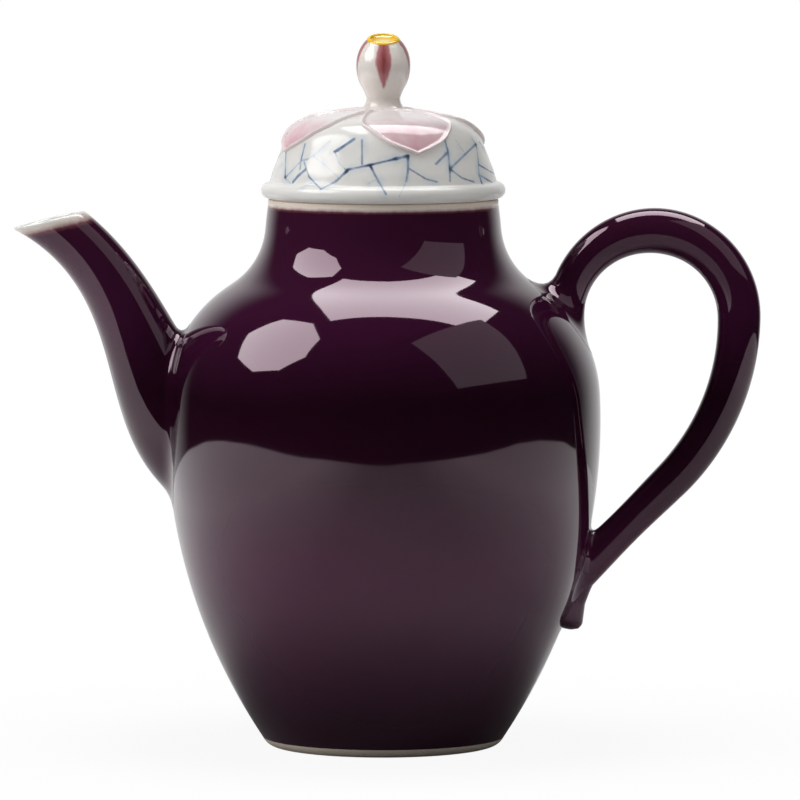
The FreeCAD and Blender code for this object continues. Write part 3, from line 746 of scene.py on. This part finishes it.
tail = {"top": 45.5, "end": 26.4, "sink": 1.4, "bed": 0.05, "spread": 1.2, "swell": 2.2, "around": 48,
        # (share of the way down, height off the wall, half width)
        "rows": ((0.0, 0.4, 3.0), (0.12, 3.2, 4.4), (0.3, 4.2, 4.4), (0.5, 3.5, 3.6), (0.66, 3.3, 3.5),
                 (0.8, 3.9, 3.8), (0.88, 4.3, 3.9), (0.94, 3.8, 3.2), (0.98, 2.3, 1.9), (1.0, 0.05, 0.15))}


def makeTail():
    ways = np.linspace(0, 1, 71)
    shares, heights, widths = (np.array(c) for c in zip(*tail["rows"]))
    rings = []
    for s in np.concatenate([ways[:-8], np.linspace(ways[-8], 1, 24)]):
        up = tail["top"] + (tail["end"] - tail["top"]) * s
        tall = float(np.interp(s, shares, heights))
        wide = float(np.interp(s, shares, widths))
        radius = float(wallRadius(up))
        ring = []
        for turn in np.linspace(0, 2 * math.pi, tail["around"] + 1):
            rise = math.sin(turn)
            lift = tall * rise ** tail["swell"] if rise > 0 else -tail["sink"] * -rise
            about = wide * tail["spread"] * math.cos(turn) / radius
            spot = np.array([radius * math.cos(about), radius * math.sin(about), up])
            ring.append(spot + wallNormal(spot) * (lift - tail["bed"]))
        rings.append(ring)
    rings = np.array(rings)
    easeLine(rings, 3)
    piece = layRings("tailSkin", capEnds(rings))
    piece.data.materials.append(aubergineGlaze)
    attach(piece, "pot")
    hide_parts("handle_tail")


makeTail()
print("tail made")


# lid: rolled flange and dome, painted with an ice-crackle of straight strokes

lid = {
    "seat": 123.15, "hole": 19.75, "edge": 25.57, "edgeTop": 126.9, "edgeRound": 1.875,
    "domeFoot": (24.75, 129.4), "side": (22.59, 134.97), "corner": (14.38, 132.77), "cornerBend": 8.5,
    "flangePull": (25.3, 127.1), "sidePull": (23.45, 132.5), "sideTurn": 15, "innerSide": (19.89, 134.24),
    "innerFoot": (21.13, 129.6), "crown": 69.0, "top": 143.0, "wall": 2.8, "turn": 76.25, "steps": 560,
}
strokes = {
    # ends of the brush lines as (column, row) of the photograph, read off it; lidFromPhoto lays
    # them on the lid, and a mirrored copy goes round the back
    "bold": (
        ((335, 152), (354, 139)), ((395, 159), (408, 156)), ((306, 169), (298, 176), (293, 182)),
        ((448, 152), (436, 164)), ((479, 174), (482, 184)), ((335, 182), (347, 171))),
    "plain": (
        ((286, 151), (285, 178)), ((285, 178), (301, 161), (308, 159)),
        ((305, 144), (301, 160), (300, 169)),
        ((362, 140), (362, 164)), ((346, 170), (370, 165), (395, 159)), ((321, 189), (335, 182)),
        ((304, 162), (309, 177), (321, 189)), ((370, 165), (377, 179), (386, 194)),
        ((408, 156), (408, 171), (406, 182)), ((408, 168), (426, 179), (437, 182)),
        ((445, 140), (448, 152), (450, 169), (450, 181)), ((450, 169), (476, 144)),
        ((476, 144), (478, 158), (479, 174)), ((450, 169), (462, 178), (474, 182)),
        ((479, 165), (495, 174), (502, 180)), ((481, 176), (493, 183))),
    "faint": (
        ((330, 141), (313, 156), (308, 159)), ((313, 156), (324, 164), (338, 177)),
        ((335, 152), (339, 163), (346, 170)), ((301, 188), (314, 182), (318, 185)),
        ((368, 184), (377, 179)),
        ((406, 182), (399, 197)), ((455, 139), (464, 152)), ((283, 164), (278, 168), (275, 182)),
        ((285, 178), (291, 184)), ((498, 176), (502, 185)), ((472, 139), (476, 144))),
    "knots": ((335, 152), (285, 178), (347, 171), (395, 159), (408, 156), (450, 169), (476, 144),
              (370, 166)),
    # what the photograph can't show, as (degrees round from the front, height)
    "sides": (((-72, 135), (-86, 132), (-98, 135)), ((-86, 132), (-84, 127)),
              ((75, 136), (87, 132), (99, 135)), ((87, 132), (90, 127))),
    "halves": {"bold": 0.22, "plain": 0.10, "faint": -0.06}, "press": 0.05,
    "endPress": 0.04, "knotPress": 0.12, "knotReach": 1.5, "farthest": 9.0, "dots": 90,
}


def lidOutside():
    return joinProfile(
        linePoints((lid["hole"], lid["seat"]), (lid["edge"], lid["seat"]), 8),
        arcPoints((lid["edge"], lid["seat"] + lid["edgeRound"]), lid["edgeRound"], -90, 90, 20),
        bendPoints((lid["edge"], lid["edgeTop"]), lid["flangePull"], lid["domeFoot"], 14),
        bendPoints(lid["domeFoot"], lid["sidePull"], lid["side"], 22),
        arcPoints(lid["corner"], lid["cornerBend"], lid["sideTurn"], lid["turn"], 30),
        arcPoints((0, lid["top"] - lid["crown"]), lid["crown"], lid["turn"], 90, 24))


domeLine = np.array([p for p in lidOutside() if p[1] >= lid["edgeTop"]])
crownLine = domeLine[::-1]
crownWay = np.concatenate([[0], np.cumsum(np.linalg.norm(np.diff(crownLine, axis=0), axis=1))])


def lidRadius(up):
    roll = np.sqrt(np.maximum(lid["edgeRound"] ** 2 - (up - lid["seat"] - lid["edgeRound"]) ** 2, 0))
    return np.where(up < lid["edgeTop"], lid["edge"] + roll, np.interp(up, domeLine[:, 1], domeLine[:, 0]))


def lidFromPhoto(column, row):
    # follows the camera's ray through a pixel to where it meets the lid
    eye, aim = np.array(camera["place"]), np.array(camera["aim"])
    ahead = (aim - eye) / np.linalg.norm(aim - eye)
    right = np.array([1.0, 0.0, 0.0])
    pixel = camera["film"] / camera["frame"] / camera["lens"]
    middle = camera["frame"] / 2
    way = ahead + (right * (column - middle) + np.cross(right, ahead) * (middle - row)) * pixel
    depths = np.linspace(-32, 0, 400)
    spots = eye + way * ((depths - eye[1]) / way[1])[:, None]
    gap = np.hypot(spots[:, 0], spots[:, 1]) - lidRadius(spots[:, 2])
    at = crossing(gap, False) if (gap < 0).any() else float(np.argmin(gap))
    return walkLine(spots, [at])[0]


def lidSpot(about, up):
    turn, radius = math.radians(about), float(lidRadius(up))
    return np.array([radius * math.sin(turn), -radius * math.cos(turn), up])


def makeLid():
    outside = lidOutside()
    line = np.array(outside)
    easeLine(line[8:], 5)  # all but the flat seat
    thin = lid["wall"]
    inside = joinProfile(
        arcPoints((0, lid["top"] - lid["crown"]), lid["crown"] - thin, 90, lid["turn"], 6),
        arcPoints(lid["corner"], lid["cornerBend"] - thin, lid["turn"], lid["sideTurn"], 7),
        linePoints(lid["innerSide"], lid["innerFoot"], 3),
        linePoints(lid["innerFoot"], (lid["hole"], lid["edgeTop"]), 3),
        linePoints((lid["hole"], lid["edgeTop"]), (lid["hole"], lid["seat"]), 3))
    piece = turnProfile("lidShell", [tuple(p) for p in line] + inside, lid["steps"])
    samples, halves = [], []
    shift = np.random.default_rng(4)
    ways = np.linspace(0, 1, strokes["dots"])
    marks = [(stroke, kind, lidFromPhoto) for kind in strokes["halves"] for stroke in strokes[kind]]
    marks += [(stroke, "plain", lidSpot) for stroke in strokes["sides"]]
    for stroke, kind, layOn in marks:
        press = strokes["halves"][kind] + strokes["press"] * shift.uniform(-1.0, 1.0)
        for (a0, b0), (a1, b1) in zip(stroke, stroke[1:]):
            for s in ways:
                samples.append(layOn(a0 + (a1 - a0) * s, b0 + (b1 - b0) * s))
                halves.append(press + strokes["endPress"] * abs(2 * s - 1))
    knots = [lidFromPhoto(column, row) for column, row in strokes["knots"]]
    toBack = np.array([1.0, -1.0, 1.0])
    samples, halves = samples + [spot * toBack for spot in samples], halves * 2
    knots += [spot * toBack for spot in knots]
    inkTree, knotTree = plantTree(samples), plantTree(knots)
    inkGap, knotGap = [], []
    for spot in spotsOf(piece):
        _, i, far = inkTree.find(spot)
        knotFar = knotTree.find(spot)[2]
        knotGap.append(knotFar)
        blot = strokes["knotPress"] * max(0.0, 1 - knotFar / strokes["knotReach"])
        inkGap.append(min(far - halves[i] - blot, strokes["farthest"]))
    paintOn(piece, "inkGap", inkGap)
    paintOn(piece, "knotGap", knotGap)
    piece.data.materials.append(crackleGlaze)
    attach(piece, "lid")
    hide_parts("lid_dome", "lid_flange")


makeLid()
print("lid made")


# petals: carved in low relief round the knob, each with a raised edge

petal = {"root": 5.2, "tip": 27.0, "turn": 19.5, "relief": 0.55, "floor": 0.22,
         "ridge": 0.42, "crestWide": 0.32, "paintWide": 0.45, "edgeRise": 0.3, "sink": 0.5,
         "wave": 0.03, "waves": 15, "waveEnd": 6, "along": 90, "around": 100,
         "shares": (0.0, 0.1, 0.25, 0.4, 0.5, 0.62, 0.74, 0.85, 0.93, 1.0),
         "halves": (4.7, 6.6, 9.0, 10.2, 10.5, 10.1, 8.8, 6.3, 3.6, 0.02)}


def domeSpot(turn, way, lift):
    # a point at a length down the dome from its top, lifted off the surface
    radius, up = (np.interp((way, way + 0.1), crownWay, crownLine[:, i]) for i in (0, 1))
    outward, upward = (up[0] - up[1]) / 0.1, (radius[1] - radius[0]) / 0.1
    out = radius[0] + outward * lift
    return np.array([out * math.sin(turn), -out * math.cos(turn), up[0] + upward * lift])


def makePetal(name, node, turn):
    shares = np.linspace(0, 1, petal["along"] + 1)
    lengths = petal["root"] + (petal["tip"] - petal["root"]) * shares
    halves = np.interp(shares, petal["shares"], petal["halves"])
    easeLine(halves, 6)
    waver = np.sin(shares * petal["waves"] + turn) * np.minimum(1, (1 - shares) * petal["waveEnd"])
    halves = halves * (1 + petal["wave"] * waver)
    edge = np.concatenate([np.stack([lengths, halves], 1), np.stack([lengths, -halves], 1),
                           np.stack([np.full(30, petal["root"]),
                                     np.linspace(-halves[0], halves[0], 30)], 1)])
    outline = plantTree(np.c_[edge, np.zeros(len(edge))])
    azimuth = math.radians(turn)
    rings, ridges, alongs = [], [], []
    for share, length, half in zip(shares, lengths, halves):
        ring = []
        for about in np.linspace(0, 2 * math.pi, petal["around"] + 1):
            across = half * math.cos(about)
            inFrom = outline.find((length, across, 0))[2]
            crest = math.exp(-((inFrom - petal["ridge"]) / petal["crestWide"]) ** 2)
            lift = float(easeStep(0.0, petal["edgeRise"], inFrom)
                         * (petal["floor"] + petal["relief"] * crest))
            if math.sin(about) < -1e-6:
                lift = petal["sink"] * math.sin(about)
            ring.append(domeSpot(azimuth + math.atan2(across, length), math.hypot(length, across), lift))
            ridges.append(math.exp(-((inFrom - petal["ridge"]) / petal["paintWide"]) ** 2))
            alongs.append(share)
        rings.append(ring)
    rings = np.array(rings)
    laid = plantTree(rings.reshape(-1, 3))
    piece = layRings(name, capEnds(rings), 80)
    nearest = [laid.find(spot)[1] for spot in spotsOf(piece)]
    paintOn(piece, "petalRidge", [ridges[i] for i in nearest])
    paintOn(piece, "petalAlong", [alongs[i] for i in nearest])
    piece.data.materials.append(petalGlaze)
    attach(piece, "lid")
    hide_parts(node)


for step, where in enumerate(("front", "right", "back", "left")):
    makePetal("petal" + where.capitalize(), "petal_" + where, petal["turn"] + 90 * step)
print("petals made")


# knob: a closed bud leaning its open top a little to the front

knob = {
    "under": 142.3, "foot": (7.0, 142.64), "footPull": (3.7, 143.0), "waist": (3.8, 145.7),
    "waistPull": (4.2, 147.0), "swell": (4.95, 148.3), "swellPull": 150.2, "broad": (6.05, 153.2),
    "broadPull": 157.0, "top": (3.85, 159.3), "topPull": (3.6, 159.95), "lip": (3.1, 160.0),
    "cup": 2.85, "cupTop": 159.6, "cupMiddle": 159.1, "cupLow": 158.8, "cupGap": 0.02, "cupBed": 0.1,
    "cupPull": 0.9, "lean": 0.28, "leanFrom": 150.0, "leanPivot": 3.2, "ringOut": 4.1, "ringFrom": 158.9,
    "strokes": (1, 83, 179, 275), "strokeTop": 159.6, "strokeEnd": 147.6, "strokeHalf": 1.85,
    # (share of the way up a stroke, share of its half width)
    "brush": ((-0.2, -1.2), (0, 0.0), (0.08, 0.2), (0.18, 0.42), (0.3, 0.66), (0.42, 0.85), (0.54, 0.96),
              (0.66, 1.0), (0.78, 0.94), (0.9, 0.8), (1.0, 0.66), (1.1, -0.5)),
}


def leanTop(spots):
    share = easeStep(knob["leanFrom"], knob["lip"][1], spots[:, 2])
    spots[:, 2] += share * (knob["lean"] * spots[:, 1] - knob["lean"] * knob["leanPivot"])
    return spots


def leanPiece(piece):
    piece.data.vertices.foreach_set("co", (leanTop(spotsOf(piece)) * mm).ravel())
    piece.data.update()


def makeKnob():
    k = knob
    profile = joinProfile(
        [(0, k["under"]), (3.0, k["under"]), (k["foot"][0] - 0.2, k["foot"][1] - 0.3)],
        bendPoints(k["foot"], k["footPull"], k["waist"], 16),
        bendPoints(k["waist"], k["waistPull"], k["swell"], 16),
        bendPoints(k["swell"], (k["broad"][0], k["swellPull"]), k["broad"], 18),
        bendPoints(k["broad"], (k["broad"][0], k["broadPull"]), k["top"], 26),
        bendPoints(k["top"], k["topPull"], k["lip"], 6),
        bendPoints(k["lip"], (k["cup"], k["lip"][1]), (k["cup"], k["cupTop"]), 5),
        linePoints((k["cup"], k["cupTop"]), (k["cup"], k["cupLow"]), 5),
        linePoints((k["cup"], k["cupLow"]), (0, k["cupLow"]), 4))
    piece = turnProfile("knobBud", profile, 160)
    spots = spotsOf(piece)
    about = np.degrees(np.arctan2(spots[:, 0], -spots[:, 1]))
    radius = np.hypot(spots[:, 0], spots[:, 1])
    share = np.clip((spots[:, 2] - k["strokeEnd"]) / (k["strokeTop"] - k["strokeEnd"]), -0.2, 1.1)
    half = k["strokeHalf"] * np.interp(share, *zip(*k["brush"]))
    inside = np.full(len(spots), -5.0)
    for turn in k["strokes"]:
        off = (about - turn + 180) % 360 - 180
        inside = np.maximum(inside, half - np.abs(np.radians(off)) * radius)
    paintOn(piece, "strokeIn", np.maximum(inside, -2))
    ring = np.clip((spots[:, 2] - k["ringFrom"]) / (k["lip"][1] - k["ringFrom"]), 0, 1)
    paintOn(piece, "lipUp", np.where(radius < k["ringOut"], ring, 0))
    leanPiece(piece)
    piece.data.materials.append(budGlaze)
    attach(piece, "lid")
    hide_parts("knob_bud")


def makeCup():
    k = knob
    edge, low = k["cup"] - k["cupGap"], k["cupLow"] - k["cupBed"]
    profile = joinProfile(
        linePoints((0, low), (edge, low), 4),
        linePoints((edge, low), (edge, k["cupTop"]), 3),
        bendPoints((edge, k["cupTop"]), (k["cup"] - k["cupPull"], k["cupMiddle"]), (0, k["cupMiddle"]), 14))
    piece = turnProfile("knobCup", profile, 96)
    spots = spotsOf(piece)
    paintOn(piece, "cupOut", np.hypot(spots[:, 0], spots[:, 1]) / k["cup"])
    leanPiece(piece)
    piece.data.materials.append(yellowGlaze)
    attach(piece, "lid")
    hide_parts("knob_cup")


makeKnob()
makeCup()
print("knob made")


# CAD nodes that stay as they are take their finish here

for name, finish in (("base_disc", clearGlaze), ("strainer", clearGlaze), ("lid_skirt", barePorcelain)):
    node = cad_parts[name]
    node.data.materials.clear()
    node.data.materials.append(finish)


# stage: pale table, white sweep behind, soft boxes round a dark room

stage = {
    "tableRadius": 0.43, "tableWide": 1.7, "tableDrop": 0.0002, "target": (0, 0, 0.09),
    "keyWay": (-0.803, -0.177, 0.756), "keyFar": 1.0, "keyRadius": 0.38, "keyGlow": 8.5,
    "topUp": 1.1, "topBox": (-0.36, 0.72, -0.12, 0.50), "topGlow": 9.0,
    "sideWay": (0.74, -0.39, 0.70), "sideFar": 1.0, "sideHalf": 0.42, "sideGlow": 0.8,
    "lamps": (("keyLamp", (-0.90, -0.28, 0.55), 0.7, 7.6), ("topLamp", (0.05, -0.05, 1.0), 0.9, 6.0),
              ("sideLamp", (0.74, -0.39, 0.55), 0.6, 1.6)),
    "lampFar": 1.1, "nearWhite": 0.93, "whiteFade": (0.05, 0.16), "contactShade": (0.035, 0.09),
    "leftShine": 0.85, "leftFade": (-0.06, -0.24), "rightShine": 0.65, "rightFade": (0.10, 0.30),
    "sweepFade": (0.55, 0.9), "sweepGlow": 0.85, "roomGlow": 0.012, "fill": 0.15,
}


def makeTableMaterial():
    material = startMaterial("paleTable")
    path = addNode(material, "LightPath")
    place = addNode(material, "TexCoord").outputs["Object"]
    far = addNode(material, "VectorMath", {0: place}, operation='LENGTH')
    fade = addNode(material, "MapRange",
                   {"Value": far.outputs["Value"], "From Min": stage["whiteFade"][0],
                    "From Max": stage["whiteFade"][1], "To Min": stage["nearWhite"], "To Max": 1.0})
    share = addNode(material, "Math", {0: path.outputs["Is Camera Ray"], 1: fade.outputs[0]},
                    operation='MULTIPLY')
    across = addNode(material, "SeparateXYZ", {"Vector": place})
    left = addNode(material, "MapRange",
                   {"Value": across.outputs["X"], "From Min": stage["leftFade"][0],
                    "From Max": stage["leftFade"][1], "To Max": stage["leftShine"]})
    right = addNode(material, "MapRange",
                    {"Value": across.outputs["X"], "From Min": stage["rightFade"][0],
                     "From Max": stage["rightFade"][1], "To Max": stage["rightShine"]})
    wide = addNode(material, "Math", {0: left.outputs[0], 1: right.outputs[0]}, operation='ADD')
    shine = addNode(material, "Math", {0: path.outputs["Is Glossy Ray"], 1: wide.outputs[0]},
                    operation='MULTIPLY')
    close = addNode(material, "MapRange",
                    {"Value": far.outputs["Value"], "From Min": stage["contactShade"][0],
                     "From Max": stage["contactShade"][1]},
                    interpolation_type='SMOOTHSTEP')
    tone = addNode(material, "Mix",
                   {"Factor": close.outputs[0], "A": hexColour("#8a8a8a"), "B": hexColour("#e4e4e4")},
                   data_type='RGBA')
    pale = addNode(material, "BsdfDiffuse", {"Color": tone.outputs["Result"]})
    bright = addNode(material, "Emission", {"Color": (1, 1, 1, 1), "Strength": shine.outputs[0]})
    matt = addNode(material, "AddShader", {0: pale.outputs[0], 1: bright.outputs[0]})
    glow = addNode(material, "Emission", {"Color": (1, 1, 1, 1), "Strength": 1.0})
    both = addNode(material, "MixShader",
                   {0: share.outputs[0], 1: matt.outputs[0], 2: glow.outputs[0]})
    addNode(material, "OutputMaterial", {"Surface": both.outputs[0]})
    return material


def makeGlowMaterial(name, strength):
    # a soft box that only shows in reflections
    material = startMaterial(name)
    path = addNode(material, "LightPath")
    clear = addNode(material, "BsdfTransparent")
    glow = addNode(material, "Emission", {"Color": (1, 1, 1, 1), "Strength": strength})
    both = addNode(material, "MixShader",
                   {0: path.outputs["Is Glossy Ray"], 1: clear.outputs[0], 2: glow.outputs[0]})
    addNode(material, "OutputMaterial", {"Surface": both.outputs[0]})
    return material


def makeStage():
    s = stage
    bpy.ops.object.select_all(action='DESELECT')
    bpy.ops.mesh.primitive_circle_add(vertices=96, radius=s["tableRadius"], fill_type='NGON')
    table = bpy.context.object
    table.name = "table"
    table.scale = (s["tableWide"], 1, 1)
    bpy.ops.object.transform_apply(location=False, rotation=False, scale=True)
    table.location = (0, 0, -s["tableDrop"])
    table.data.materials.append(makeTableMaterial())

    target = Vector(s["target"])
    bpy.ops.object.select_all(action='DESELECT')
    bpy.ops.mesh.primitive_circle_add(vertices=8, radius=s["keyRadius"], fill_type='NGON')
    key = bpy.context.object
    key.name = "keyBox"
    key.location = target + Vector(s["keyWay"]).normalized() * s["keyFar"]
    key.rotation_euler = Vector(s["keyWay"]).to_track_quat('Z', 'Y').to_euler()
    key.data.materials.append(makeGlowMaterial("keyGlow", s["keyGlow"]))

    x0, x1, y0, y1 = s["topBox"]
    bpy.ops.object.select_all(action='DESELECT')
    bpy.ops.mesh.primitive_plane_add(size=1.0)
    top = bpy.context.object
    top.name = "topBox"
    top.scale = (x1 - x0, y1 - y0, 1)
    top.location = ((x0 + x1) / 2, (y0 + y1) / 2, s["topUp"])
    top.data.materials.append(makeGlowMaterial("topGlow", s["topGlow"]))

    bpy.ops.object.select_all(action='DESELECT')
    bpy.ops.mesh.primitive_plane_add(size=2 * s["sideHalf"])
    side = bpy.context.object
    side.name = "sideBox"
    side.location = target + Vector(s["sideWay"]).normalized() * s["sideFar"]
    side.rotation_euler = Vector(s["sideWay"]).to_track_quat('Z', 'Y').to_euler()
    side.data.materials.append(makeGlowMaterial("sideGlow", s["sideGlow"]))

    for name, way, size, power in s["lamps"]:
        bpy.ops.object.light_add(type='AREA')
        lamp = bpy.context.object
        lamp.name = name
        lamp.data.size = size
        lamp.data.energy = power
        lamp.location = target + Vector(way).normalized() * s["lampFar"]
        lamp.rotation_euler = Vector(way).to_track_quat('Z', 'Y').to_euler()
        lamp.visible_glossy = False


def makeRoom():
    # white for the camera; reflections find a white sweep behind and a dim room in front
    world = bpy.data.worlds.new("studio")
    bpy.context.scene.world = world
    world.use_nodes = True
    world.node_tree.nodes.clear()
    path = addNode(world, "LightPath")
    way = addNode(world, "TexCoord")
    split = addNode(world, "SeparateXYZ", {"Vector": way.outputs["Generated"]})
    back = addNode(world, "MapRange",
                   {"Value": split.outputs["Y"], "From Min": stage["sweepFade"][0],
                    "From Max": stage["sweepFade"][1], "To Min": stage["roomGlow"],
                    "To Max": stage["sweepGlow"]}, interpolation_type='SMOOTHSTEP')
    fill = addNode(world, "Background", {"Color": (1, 1, 1, 1), "Strength": stage["fill"]})
    mirror = addNode(world, "Background", {"Color": (1, 1, 1, 1), "Strength": back.outputs[0]})
    plain = addNode(world, "Background", {"Color": (1, 1, 1, 1), "Strength": 1.0})
    lit = addNode(world, "MixShader",
                  {0: path.outputs["Is Glossy Ray"], 1: fill.outputs[0], 2: mirror.outputs[0]})
    seen = addNode(world, "MixShader",
                   {0: path.outputs["Is Camera Ray"], 1: lit.outputs[0], 2: plain.outputs[0]})
    addNode(world, "OutputWorld", {"Surface": seen.outputs[0]})


def makeCamera():
    bpy.ops.object.camera_add()
    eye = bpy.context.object
    eye.name = "photoCamera"
    place, aim = Vector(camera["place"]) * mm, Vector(camera["aim"]) * mm
    eye.location = place
    eye.rotation_euler = (aim - place).to_track_quat('-Z', 'Y').to_euler()
    eye.data.lens = camera["lens"]
    eye.data.sensor_width = camera["film"]
    eye.data.clip_end = 20.0
    bpy.context.scene.camera = eye
    bpy.context.scene.view_settings.view_transform = 'Standard'


makeStage()
makeRoom()
makeCamera()
print("stage, lights and camera set")
